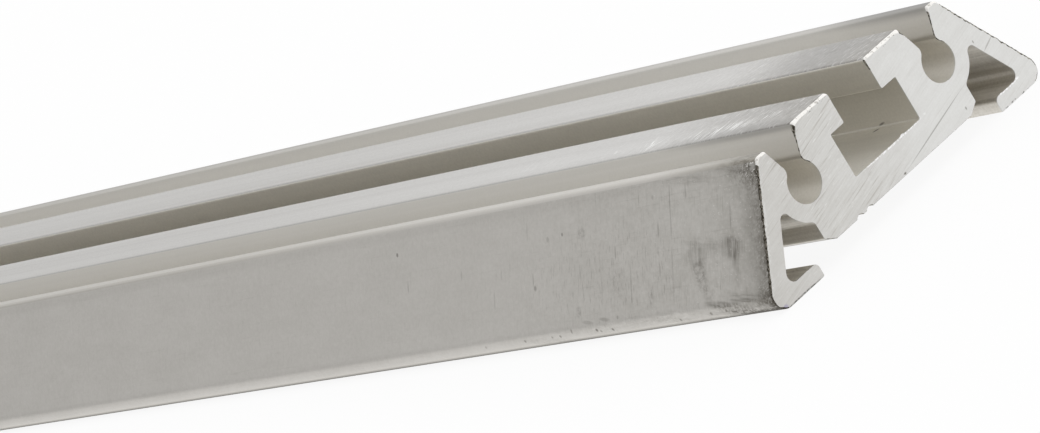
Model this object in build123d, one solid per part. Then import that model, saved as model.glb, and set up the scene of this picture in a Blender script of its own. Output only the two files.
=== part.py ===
from build123d import *
from math import cos, radians, sin, sqrt, tan
import os

# Aluminium mounting rail, extruded in one piece and sawn to length.
# X runs along the rail, Y across it and Z up from the floor under its two feet.
# The section is drawn as its +Y half, in millimetres, and mirrored.

# Cut length
LENGTH = 500.0

# Bolt slot along the top, for the hexagon head of an M8 bolt
SLOT_MOUTH = 8.1
SLOT_WIDTH = 13.9
SLOT_HEIGHT = 6.7
LIP_THICKNESS = 4.8

# Base plate under the slot
BASE_CLEARANCE = 2.7
BASE_THICKNESS = 4.55
BASE_OVERHANG = 2.0
BASE_BEVEL_RISE = 1.1

# Open screw ports each side of the slot
PORT_DIAMETER = 5.76
PORT_SPACING = 28.9
PORT_RISE = 8.8
PORT_WALL = 2.46
PORT_MOUTH = 3.3
PORT_NOSE_RADIUS = 1.25
PORT_FLARE = 20.0

# Leaning legs and the feet that hook inwards
LEG_LEAN = 31.0
LEG_THICKNESS = 2.8
LEG_LAP = 0.7
LEG_TIP_DROP = 0.4
FOOT_THICKNESS = 2.2
FOOT_GAP = 38.8

# Roundings
FOOT_CORNER_RADIUS = 2.1
FOOT_INNER_RADIUS = 1.1
FOOT_TOE_RADIUS = 0.8
POCKET_RADIUS = 0.8
LEG_TIP_RADIUS = 0.7
LIP_RADIUS = 0.3
EDGE_RADIUS = 0.25

# Pair of shallow marker grooves under one side of the base
MARKER_OFFSET = 8.6
MARKER_PITCH = 2.05
MARKER_WIDTH = 1.4
MARKER_DEPTH = 0.37

# Heights above the floor
slot_floor = BASE_CLEARANCE + BASE_THICKNESS
lip_underside = slot_floor + SLOT_HEIGHT
lip_top = lip_underside + LIP_THICKNESS
leg_top = lip_top - LEG_TIP_DROP
port_axis_z = BASE_CLEARANCE + PORT_RISE

# Distances from the port's axis
port_axis_y = PORT_SPACING / 2
port_radius = PORT_DIAMETER / 2
wall_radius = port_radius + PORT_WALL
leg_inner = wall_radius - LEG_LAP
leg_outer = leg_inner + LEG_THICKNESS
base_end = port_axis_y + BASE_OVERHANG

lean = radians(LEG_LEAN)
flare = radians(PORT_FLARE)
port_axis = Vector(port_axis_y, port_axis_z)
leg_normal = Vector(cos(lean), sin(lean))
leg_upward = Vector(-sin(lean), cos(lean))


def leg_y(depth, height):
    """Y of a leg face that lies depth out from the port's axis, at a height."""
    return port_axis_y + (depth - (height - port_axis_z) * sin(lean)) / cos(lean)


def on_circle(radius, towards):
    """The point of a circle about the port's axis that faces another point."""
    return port_axis + (towards - port_axis).normalized() * radius


def outer_shape():
    """Half of the section's outside, with its hollows still filled."""
    return make_face(
        Polyline(
            (0, 0),
            (leg_y(leg_outer, 0), 0),
            (leg_y(leg_outer, leg_top), leg_top),
            (port_axis_y, leg_top),
            (port_axis_y, lip_top),
            (0, lip_top),
            close=True,
        )
    )


def bolt_slot():
    """Half of the T-shaped bolt slot: the room for the head and the mouth above it."""
    head_room = Pos(0, slot_floor) * Rectangle(SLOT_WIDTH, SLOT_HEIGHT, align=(Align.CENTER, Align.MIN))
    mouth = Pos(0, lip_underside) * Rectangle(SLOT_MOUTH, LIP_THICKNESS, align=(Align.CENTER, Align.MIN))
    return head_room + mouth


def port_mouth_half(height):
    """Half the width of the port's flared mouth at a height above its noses."""
    nose_reach = PORT_MOUTH / 2 + PORT_NOSE_RADIUS
    nose_z = port_axis_z + sqrt((port_radius + PORT_NOSE_RADIUS) ** 2 - nose_reach**2)
    return nose_reach - PORT_NOSE_RADIUS / cos(flare) + (height - nose_z) * tan(flare)


def screw_port():
    """A round screw port, open upwards between two rounded noses into a flared mouth."""
    nose_reach = PORT_MOUTH / 2 + PORT_NOSE_RADIUS
    nose_rise = sqrt((port_radius + PORT_NOSE_RADIUS) ** 2 - nose_reach**2)
    wall = []
    for side in (-1, 1):
        nose = port_axis + Vector(side * nose_reach, nose_rise)
        seat = on_circle(port_radius, nose)
        tip = nose - Vector(side * PORT_NOSE_RADIUS, 0)
        shoulder = nose + Vector(-side * cos(flare), sin(flare)) * PORT_NOSE_RADIUS
        rim = Vector(port_axis_y + side * port_mouth_half(lip_top), lip_top)
        wall += [ThreePointArc(seat, tip, shoulder), Line(shoulder, rim)]
    left_seat, right_seat = wall[0] @ 0, wall[2] @ 0
    round_wall = ThreePointArc(left_seat, port_axis - Vector(0, port_radius), right_seat)
    rim_line = Line(wall[1] @ 1, wall[3] @ 1)
    return make_face([*wall, round_wall, rim_line])


def space_underneath():
    """Half of the space between the legs, up to the rounded top of the pocket beside the port."""
    below_floor = -FOOT_THICKNESS
    apex_depth = leg_inner - POCKET_RADIUS
    apex_drop = sqrt((wall_radius + POCKET_RADIUS) ** 2 - apex_depth**2)
    apex = port_axis + leg_normal * apex_depth - leg_upward * apex_drop
    corner_reach = BASE_OVERHANG + POCKET_RADIUS
    corner_drop = sqrt((wall_radius + POCKET_RADIUS) ** 2 - corner_reach**2)
    corner = port_axis + Vector(corner_reach, -corner_drop)

    leg_end = apex + leg_normal * POCKET_RADIUS
    wall_start = on_circle(wall_radius, apex)
    wall_end = on_circle(wall_radius, corner)
    base_start = corner - Vector(POCKET_RADIUS, 0)
    bevel_top = Vector(base_end, BASE_CLEARANCE + BASE_BEVEL_RISE)
    bevel_foot = Vector(base_end - BASE_BEVEL_RISE / tan(lean), BASE_CLEARANCE)

    pocket_top = RadiusArc(wall_start, leg_end, POCKET_RADIUS)
    wall_arc = RadiusArc(wall_start, wall_end, wall_radius)
    base_corner = RadiusArc(base_start, wall_end, POCKET_RADIUS)
    leg_and_foot = Polyline(
        leg_end,
        (leg_y(leg_inner, FOOT_THICKNESS), FOOT_THICKNESS),
        (FOOT_GAP / 2, FOOT_THICKNESS),
        (FOOT_GAP / 2, below_floor),
        (0, below_floor),
        (0, BASE_CLEARANCE),
        bevel_foot,
        bevel_top,
        base_start,
    )
    return make_face([pocket_top, wall_arc, base_corner, leg_and_foot])


def rounded(face, roundings):
    """The face with each named corner rounded: pairs of a corner's place and a radius."""
    for place, radius in roundings:
        face = fillet(face.vertices().sort_by_distance(place)[0], radius)
    return face


def half_section():
    """The +Y half of the section."""
    half = outer_shape() - bolt_slot() - screw_port() - space_underneath()
    base_bevel_run = BASE_BEVEL_RISE / tan(lean)
    return rounded(
        half,
        [
            ((SLOT_MOUTH / 2, lip_top), LIP_RADIUS),
            ((SLOT_MOUTH / 2, lip_underside), EDGE_RADIUS),
            ((SLOT_WIDTH / 2, lip_underside), EDGE_RADIUS),
            ((SLOT_WIDTH / 2, slot_floor), EDGE_RADIUS),
            ((port_axis_y - port_mouth_half(lip_top), lip_top), EDGE_RADIUS),
            ((port_axis_y + port_mouth_half(leg_top), leg_top), EDGE_RADIUS),
            ((leg_y(leg_outer, leg_top), leg_top), LEG_TIP_RADIUS),
            ((leg_y(leg_outer, 0), 0), FOOT_CORNER_RADIUS),
            ((FOOT_GAP / 2, 0), EDGE_RADIUS),
            ((FOOT_GAP / 2, FOOT_THICKNESS), FOOT_TOE_RADIUS),
            ((leg_y(leg_inner, FOOT_THICKNESS), FOOT_THICKNESS), FOOT_INNER_RADIUS),
            ((base_end, BASE_CLEARANCE + BASE_BEVEL_RISE), EDGE_RADIUS),
            ((base_end - base_bevel_run, BASE_CLEARANCE), EDGE_RADIUS),
        ],
    )


def marker_grooves():
    """Two shallow round grooves in the underside of the base, on the -Y side."""
    radius = (MARKER_WIDTH**2 / 4 + MARKER_DEPTH**2) / (2 * MARKER_DEPTH)
    centre_z = BASE_CLEARANCE + MARKER_DEPTH - radius
    inner = Pos(-MARKER_OFFSET + MARKER_PITCH / 2, centre_z) * Circle(radius)
    outer = Pos(-MARKER_OFFSET - MARKER_PITCH / 2, centre_z) * Circle(radius)
    return inner + outer


half = half_section()
section = half + mirror(half, about=Plane.YZ) - marker_grooves()
extrusion_profile = extrude(Plane.YZ * section, amount=LENGTH / 2, both=True)

os.makedirs("parts", exist_ok=True)
export_step(extrusion_profile, "parts/extrusion_profile.step")
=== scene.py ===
"""Looks of a sawn length of aluminium mounting rail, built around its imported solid.

X runs along the rail, Y across it and Z up from the floor under its feet. The cut end that shows the
section is at +X. Sizes are written in millimetres and become metres where a mesh is made.
"""

import logging
from dataclasses import dataclass, field
from enum import Enum
from math import atan2, ceil, copysign, cos, pi, radians, sin, sqrt, tan, tau
from typing import Sequence

import bpy
from mathutils import Matrix, Vector, kdtree, noise


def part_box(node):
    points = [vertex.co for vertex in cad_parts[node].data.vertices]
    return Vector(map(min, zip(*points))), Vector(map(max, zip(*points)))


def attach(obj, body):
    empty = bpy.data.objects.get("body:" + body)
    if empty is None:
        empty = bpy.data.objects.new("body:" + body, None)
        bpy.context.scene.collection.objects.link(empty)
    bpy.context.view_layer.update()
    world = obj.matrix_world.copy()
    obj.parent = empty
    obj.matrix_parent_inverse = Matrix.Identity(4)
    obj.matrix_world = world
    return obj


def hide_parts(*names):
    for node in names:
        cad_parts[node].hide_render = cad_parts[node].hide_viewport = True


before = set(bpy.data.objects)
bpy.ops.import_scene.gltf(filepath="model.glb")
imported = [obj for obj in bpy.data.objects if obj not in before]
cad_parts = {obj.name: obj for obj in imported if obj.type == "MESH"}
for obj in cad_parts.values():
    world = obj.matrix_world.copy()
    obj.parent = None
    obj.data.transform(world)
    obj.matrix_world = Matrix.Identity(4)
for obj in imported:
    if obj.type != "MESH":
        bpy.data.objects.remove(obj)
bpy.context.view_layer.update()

MM = 0.001
NODE = "extrusion_profile"
BODY = "root"

# Half size of a spot that runs right along the rail or right through it
ENDLESS = 1e4
# Half depth, along the rail, of a spot on the near cut's face
CUT_DEPTH = 20.0
# Size through the leg of a mark on it, long enough to look the same at every depth
THROUGH_LEG = 60.0
# Stretch, by its distances from the near cut, over which painted shade greys the tops as the light falls off
FAR_SHADE_FROM, FAR_SHADE_TO = 60.0, 140.0

# Sockets of a colour Mix node, which share their names with its other kinds
MIX_FACTOR, MIX_A, MIX_B, MIX_RESULT = 0, 6, 7, 2

Socket = bpy.types.NodeSocket
Triple = tuple[float, float, float]

log = logging.getLogger("rail")


class Side(Enum):
    """The two long sides of the rail."""

    FRONT = -1
    BACK = 1


class CutEnd(Enum):
    """The two sawn ends, by their direction along X."""

    NEAR = 1
    FAR = -1


class Zone(Enum):
    """Parts of the surface that have a finish of their own, numbered as material slots."""

    MILL = 0
    FRONT_LEG = 1
    BACK_LEG = 2
    LIP_TOP = 3
    SLOT = 4
    PORT = 5
    MOUTH = 6
    POCKET = 7
    SAWN_END = 8
    FILED_EDGE = 9
    RAGGED_EDGE = 10
    NICKED_EDGE = 11


class Streak(Enum):
    """What the streaks in a rub mark look like, as the size of one along X, through the leg and along Z."""

    ACROSS = (0.35, THROUGH_LEG, 5.0)
    ALONG = (2.5, THROUGH_LEG, 0.25)
    SCRIBBLE = (0.4, THROUGH_LEG, 0.3)


def linear(hex_colour: str) -> tuple[float, float, float, float]:
    """Turn an sRGB hex colour into linear light.

    Args:
        hex_colour: The colour as #RRGGBB.

    Returns:
        Linear red, green, blue and an alpha of 1.
    """
    shares = [int(hex_colour[at : at + 2], 16) / 255 for at in (1, 3, 5)]
    light = [c / 12.92 if c <= 0.04045 else ((c + 0.055) / 1.055) ** 2.4 for c in shares]
    return (*light, 1.0)


def add_node(
    tree: bpy.types.NodeTree, kind: str, inputs: dict | tuple = (), output: int | str = 0, **settings
) -> Socket | None:
    """Add a node with its settings and links.

    Args:
        tree: The node tree that gets the node.
        kind: The node's type name.
        inputs: A value or an output socket for each input, in order or by name or number.
        output: Name or number of the output that is wanted.
        **settings: Properties of the node itself.

    Returns:
        The wanted output, or None where the node has no outputs.
    """
    node = tree.nodes.new(kind)
    for name, value in settings.items():
        setattr(node, name, value)
    for key, value in inputs.items() if isinstance(inputs, dict) else enumerate(inputs):
        if isinstance(value, Socket):
            tree.links.new(value, node.inputs[key])
        else:
            node.inputs[key].default_value = value
    return node.outputs[output] if node.outputs else None


def smooth_step(share: float) -> float:
    """Ease a share from 0 to 1, held at both ends."""
    held = min(1.0, max(0.0, share))
    return held * held * (3 - 2 * held)


@dataclass(frozen=True)
class Bend:
    """An arc of the section's outline, from its start round its centre to its end."""

    centre: Vector
    start: Vector
    end: Vector
    clockwise: bool = False

    def sweep(self) -> float:
        """Find the angle that the outline turns through.

        Returns:
            The angle, positive counter-clockwise.
        """
        start = self.start - self.centre
        end = self.end - self.centre
        turned = (atan2(end.y, end.x) - atan2(start.y, start.x)) % tau
        return turned - tau if self.clockwise else turned

    def mirrored(self) -> "Bend":
        """The same bend on the other side of the rail, walked in the outline's own direction."""
        flip = Vector((-1, 1))
        return Bend(self.centre * flip, self.end * flip, self.start * flip, self.clockwise)


def rounded_corner(before: Vector, corner: Vector, after: Vector, radius: float) -> Bend:
    """Round the corner between two straight runs.

    Args:
        before: A point of the run that arrives.
        corner: The corner itself.
        after: A point of the run that leaves.
        radius: Radius of the rounding.

    Returns:
        The arc that touches both runs.
    """
    arriving = (corner - before).normalized()
    leaving = (after - corner).normalized()
    turn = atan2(arriving.x * leaving.y - arriving.y * leaving.x, arriving.dot(leaving))
    reach = radius * tan(abs(turn) / 2)
    start = corner - arriving * reach
    centre = start + Vector((-arriving.y, arriving.x)) * copysign(radius, turn)
    return Bend(centre, start, corner + leaving * reach, clockwise=turn < 0)


@dataclass(frozen=True)
class RailSection:
    """The die's opening: a T-shaped bolt slot, two screw ports and two leaning legs with hooked feet."""

    slot_mouth: float = 8.1
    slot_width: float = 13.9
    slot_height: float = 6.7
    lip_thickness: float = 4.8
    base_clearance: float = 2.7
    base_thickness: float = 4.55
    base_overhang: float = 2.0
    base_bevel_rise: float = 1.1
    port_diameter: float = 5.76
    port_spacing: float = 28.9
    port_rise: float = 8.8
    port_wall: float = 2.46
    port_mouth: float = 3.3
    port_nose_radius: float = 1.25
    port_flare: float = radians(20.0)
    leg_lean: float = radians(31.0)
    leg_thickness: float = 2.8
    leg_lap: float = 0.7
    leg_tip_drop: float = 0.4
    foot_thickness: float = 2.2
    foot_gap: float = 38.8
    foot_corner_radius: float = 2.1
    foot_inner_radius: float = 1.1
    foot_toe_radius: float = 0.8
    pocket_radius: float = 0.8
    leg_tip_radius: float = 0.7
    lip_radius: float = 0.3
    edge_radius: float = 0.25
    marker_offset: float = 8.6
    marker_pitch: float = 2.05
    marker_width: float = 1.4
    marker_depth: float = 0.37

    @property
    def slot_floor(self) -> float:
        """Height of the bolt slot's floor."""
        return self.base_clearance + self.base_thickness

    @property
    def lip_underside(self) -> float:
        """Height of the underside of the slot's lips."""
        return self.slot_floor + self.slot_height

    @property
    def lip_top(self) -> float:
        """Height of the top of the slot's lips."""
        return self.lip_underside + self.lip_thickness

    @property
    def leg_top(self) -> float:
        """Height of the legs' tips."""
        return self.lip_top - self.leg_tip_drop

    @property
    def port_axis(self) -> Vector:
        """Middle of the back screw port."""
        return Vector((self.port_spacing / 2, self.base_clearance + self.port_rise))

    @property
    def wall_radius(self) -> float:
        """Outer radius of the screw port's wall."""
        return self.port_diameter / 2 + self.port_wall

    @property
    def leg_inner(self) -> float:
        """Distance from the port's axis to the leg's inner face."""
        return self.wall_radius - self.leg_lap

    @property
    def leg_outer(self) -> float:
        """Distance from the port's axis to the leg's outer face."""
        return self.leg_inner + self.leg_thickness

    @property
    def leg_normal(self) -> Vector:
        """Direction that the back leg's outer face looks in."""
        return Vector((cos(self.leg_lean), sin(self.leg_lean)))

    def leg_face(self, depth: float, height: float) -> Vector:
        """Find a point of a face of the back leg.

        Args:
            depth: Distance of the face from the port's axis.
            height: Height of the point above the floor.

        Returns:
            The point.
        """
        axis = self.port_axis
        across = (depth - (height - axis.y) * sin(self.leg_lean)) / cos(self.leg_lean)
        return Vector((axis.x + across, height))

    def leg_depth(self, place: Vector, side: Side) -> float:
        """How far a point lies under a leg's outer face."""
        towards = Vector((place.x * side.value, place.y)) - self.port_axis
        return self.leg_outer - towards.dot(self.leg_normal)

    def port_bends(self) -> list[Bend]:
        """The back screw port, from its outer nose round its wall to its inner nose.

        Returns:
            The two noses with the round wall between them.
        """
        radius = self.port_diameter / 2
        reach = self.port_mouth / 2 + self.port_nose_radius
        rise = sqrt((radius + self.port_nose_radius) ** 2 - reach**2)
        noses = []
        for side in Side:
            centre = self.port_axis + Vector((side.value * reach, rise))
            seat = self.port_axis + (centre - self.port_axis).normalized() * radius
            slope = Vector((-side.value * cos(self.port_flare), sin(self.port_flare)))
            noses.append((centre, seat, centre + slope * self.port_nose_radius))
        (inner, inner_seat, inner_shoulder), (outer, outer_seat, outer_shoulder) = noses
        return [
            Bend(outer, outer_shoulder, outer_seat),
            Bend(self.port_axis, outer_seat, inner_seat, clockwise=True),
            Bend(inner, inner_seat, inner_shoulder),
        ]

    def rim(self, side: Side, height: float) -> Vector:
        """Where the port's flared mouth reaches a height, on one side of the port."""
        shoulder = self.port_bends()[2].end if side is Side.FRONT else self.port_bends()[0].start
        return Vector((shoulder.x + side.value * (height - shoulder.y) * tan(self.port_flare), height))

    def pocket_bends(self) -> list[Bend]:
        """The rounded top of the pocket between the port's wall and the leg.

        Returns:
            The corner at the base, the port's wall and the corner at the leg.
        """
        axis, radius = self.port_axis, self.pocket_radius
        distance = self.wall_radius + radius
        upward = Vector((-self.leg_normal.y, self.leg_normal.x))
        depth = self.leg_inner - radius
        apex = axis + self.leg_normal * depth - upward * sqrt(distance**2 - depth**2)
        reach = self.base_overhang + radius
        corner = axis + Vector((reach, -sqrt(distance**2 - reach**2)))
        wall_end = axis + (corner - axis).normalized() * self.wall_radius
        wall_start = axis + (apex - axis).normalized() * self.wall_radius
        return [
            Bend(corner, corner - Vector((radius, 0)), wall_end, clockwise=True),
            Bend(axis, wall_end, wall_start),
            Bend(apex, wall_start, apex + self.leg_normal * radius, clockwise=True),
        ]

    def base_bends(self) -> list[Bend]:
        """The bevelled lower edge of the base plate.

        Returns:
            The bevel's two corners.
        """
        end = self.port_axis.x + self.base_overhang
        foot = Vector((end - self.base_bevel_rise / tan(self.leg_lean), self.base_clearance))
        top = Vector((end, self.base_clearance + self.base_bevel_rise))
        middle = Vector((0, self.base_clearance))
        above = self.pocket_bends()[0].start
        return [
            rounded_corner(middle, foot, top, self.edge_radius),
            rounded_corner(foot, top, above, self.edge_radius),
        ]

    def leg_bends(self) -> list[Bend]:
        """The hooked foot and the tip of the leg.

        Returns:
            The foot's four corners and the tip's two.
        """
        corners = [
            (self.pocket_bends()[2].end, None),
            (self.leg_face(self.leg_inner, self.foot_thickness), self.foot_inner_radius),
            (Vector((self.foot_gap / 2, self.foot_thickness)), self.foot_toe_radius),
            (Vector((self.foot_gap / 2, 0)), self.edge_radius),
            (self.leg_face(self.leg_outer, 0), self.foot_corner_radius),
            (self.leg_face(self.leg_outer, self.leg_top), self.leg_tip_radius),
            (self.rim(Side.BACK, self.leg_top), self.edge_radius),
            (self.port_bends()[0].start, None),
        ]
        return self.rounded(corners)

    def slot_bends(self) -> list[Bend]:
        """The lip and the room for the bolt's head under it.

        Returns:
            The lip's three corners and the head room's two.
        """
        corners = [
            (self.port_bends()[2].end, None),
            (self.rim(Side.FRONT, self.lip_top), self.edge_radius),
            (Vector((self.slot_mouth / 2, self.lip_top)), self.lip_radius),
            (Vector((self.slot_mouth / 2, self.lip_underside)), self.edge_radius),
            (Vector((self.slot_width / 2, self.lip_underside)), self.edge_radius),
            (Vector((self.slot_width / 2, self.slot_floor)), self.edge_radius),
            (Vector((0, self.slot_floor)), None),
        ]
        return self.rounded(corners)

    @staticmethod
    def rounded(corners: Sequence[tuple[Vector, float | None]]) -> list[Bend]:
        """Round each corner of a chain between its two ends."""
        chain = zip(corners, corners[1:], corners[2:])
        return [rounded_corner(a, corner, b, radius) for (a, _), (corner, radius), (b, _) in chain]

    def marker_bends(self) -> list[Bend]:
        """The two shallow marker grooves under the front half of the base.

        Returns:
            One arc for each groove.
        """
        radius = (self.marker_width**2 / 4 + self.marker_depth**2) / (2 * self.marker_depth)
        half = Vector((self.marker_width / 2, 0))
        grooves = []
        for side in Side:
            place = Vector((side.value * self.marker_pitch / 2 - self.marker_offset, self.base_clearance))
            centre = place + Vector((0, self.marker_depth - radius))
            grooves.append(Bend(centre, place - half, place + half, clockwise=True))
        return grooves

    def outline(self) -> list[Bend]:
        """Put the closed outline together.

        Returns:
            All its bends, counter-clockwise from the middle of the underside.
        """
        half = [
            *self.base_bends(),
            *self.pocket_bends(),
            *self.leg_bends(),
            *self.port_bends(),
            *self.slot_bends(),
        ]
        return [*half, *(bend.mirrored() for bend in reversed(half)), *self.marker_bends()]


@dataclass(frozen=True)
class OutlinePoint:
    """A point of the drawn outline and the direction out of the metal there."""

    place: Vector
    outward: Vector


@dataclass
class SectionPen:
    """Draws the outline in edit mode as a chain of short edges at a place along X, then fills it."""

    station: float
    run_step: float = 0.25
    arc_step: float = 0.2
    points: list[OutlinePoint] = field(default_factory=list)

    def metres(self, place: Vector) -> Vector:
        """A point of the section in the scene."""
        return Vector((self.station, place.x, place.y)) * MM

    def draw(self, bends: Sequence[Bend]) -> None:
        """Draw the bends and the runs between them, and fill the outline.

        Args:
            bends: The outline's bends in order.
        """
        bpy.ops.mesh.select_all(action="SELECT")
        bpy.ops.mesh.merge(type="CENTER")
        bpy.ops.transform.translate(value=self.metres(bends[0].start))
        for bend, following in zip(bends, [*bends[1:], bends[0]]):
            self.turn(bend)
            self.run(bend.end, following.start)
        bpy.ops.mesh.select_all(action="SELECT")
        bpy.ops.mesh.remove_doubles(threshold=self.arc_step * MM / 10)
        bpy.ops.mesh.edge_face_add()

    def turn(self, bend: Bend) -> None:
        """Spin the last vertex through a bend.

        Args:
            bend: The bend that starts at that vertex.
        """
        arm = bend.start - bend.centre
        sweep = bend.sweep()
        steps = max(3, ceil(abs(sweep) * arm.length / self.arc_step))
        # A spin about +X turns clockwise for a positive angle
        bpy.ops.mesh.spin(steps=steps, angle=-sweep, center=self.metres(bend.centre), axis=(1, 0, 0))
        for step in range(steps):
            turned = Matrix.Rotation(sweep * step / steps, 2) @ arm
            self.points.append(OutlinePoint(bend.centre + turned, turned.normalized() * copysign(1, sweep)))

    def run(self, start: Vector, end: Vector) -> None:
        """Extrude the last vertex along a straight run, in short steps.

        Args:
            start: Where the run starts.
            end: Where it ends.
        """
        steps = max(1, ceil((end - start).length / self.run_step))
        step = (end - start) / steps
        outward = Vector((step.y, -step.x)).normalized()
        for at in range(steps):
            bpy.ops.mesh.extrude_vertices_move(
                TRANSFORM_OT_translate={"value": Vector((0, step.x, step.y)) * MM}
            )
            self.points.append(OutlinePoint(start + step * at, outward))


@dataclass(frozen=True)
class EdgeBreak:
    """How far a cut edge is broken into the end face and along the rail."""

    drop: float
    run: float


@dataclass(frozen=True)
class SawCut:
    """How the saw and the file left the edges of one end."""

    end: CutEnd
    lip: EdgeBreak
    rim: EdgeBreak
    toe: EdgeBreak
    tip: EdgeBreak
    front_leg: EdgeBreak
    back_leg: EdgeBreak
    sole: EdgeBreak
    plain: EdgeBreak
    burr: float
    ragged: float
    corner_reach: float = 1.3
    loops: int = 5
    top_fade: float = 2.0
    least: float = 0.1
    wave_size: float = 1.4
    chip_size: float = 0.4
    lump_size: float = 1.1
    crumb_size: float = 0.35
    end_shift: float = 3.7

    def scatter(self, place: Vector, size: float) -> float:
        """Noise from about -1 to 1 at a place, in lumps of a given size."""
        return noise.noise(Vector((place.x / size, place.y / size, self.end.value * self.end_shift + size)))

    def inward(self, section: RailSection, point: OutlinePoint) -> tuple[Vector, float]:
        """Find how far the edge is broken at a point of the outline.

        Args:
            section: The rail's section.
            point: The point of the outline.

        Returns:
            The move into the metal at the cut face, and the length of the break along the rail.
        """
        place, outward = point.place, point.outward
        side = Side.FRONT if place.x < 0 else Side.BACK
        # How much of each kind of edge this is, eased by where the point lies and which way it looks
        top = smooth_step((place.y - section.leg_top + self.top_fade) / self.top_fade)
        depth = abs(section.leg_depth(place, side)) / section.leg_thickness
        leg = smooth_step(1 - 2 * depth) * (1 - top)
        sole = smooth_step(-4 * outward.y - 2) * (1 - leg) if place.y < section.foot_thickness / 2 else 0.0
        upward = smooth_step(4 * outward.y - 3) * (1 - top) * (1 - leg)
        top_break = self.tip if abs(place.x) > section.port_axis.x else self.lip
        leg_break = self.front_leg if side is Side.FRONT else self.back_leg
        leg_outward = Vector((side.value * section.leg_normal.x, section.leg_normal.y))
        centred = Vector((abs(place.x), place.y))
        rim_corner = section.rim(Side.FRONT, section.lip_top)
        toe_corner = Vector((section.foot_gap / 2, 0))
        rim, toe = (
            max(0.0, 1 - (centred - corner).length / self.corner_reach) for corner in (rim_corner, toe_corner)
        )
        shares = [
            (top, top_break, Vector((0, 1))),
            (rim, self.rim, Vector((side.value, 1)).normalized()),
            (toe, self.toe, Vector((-side.value, -1)).normalized()),
            (leg, leg_break, leg_outward),
            (sole, self.sole, outward),
            (1 - top - leg - sole, self.plain, outward),
        ]
        waves, chips = self.scatter(place, self.wave_size), self.scatter(place, self.chip_size)
        uneven = max(self.least, 1 + self.ragged * (waves + (0.5 + 2 * leg) * chips))
        move, run = Vector((0, 0)), 0.0
        for share, edge, direction in shares:
            move -= direction * edge.drop * share * uneven
            run += edge.run * share * uneven
        # The saw pushed a crumbly burr up over the edges that look upwards
        crumb = max(0.0, self.scatter(place, self.lump_size) + self.scatter(place, self.crumb_size))
        return move + outward * self.burr * upward * crumb, run


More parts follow.
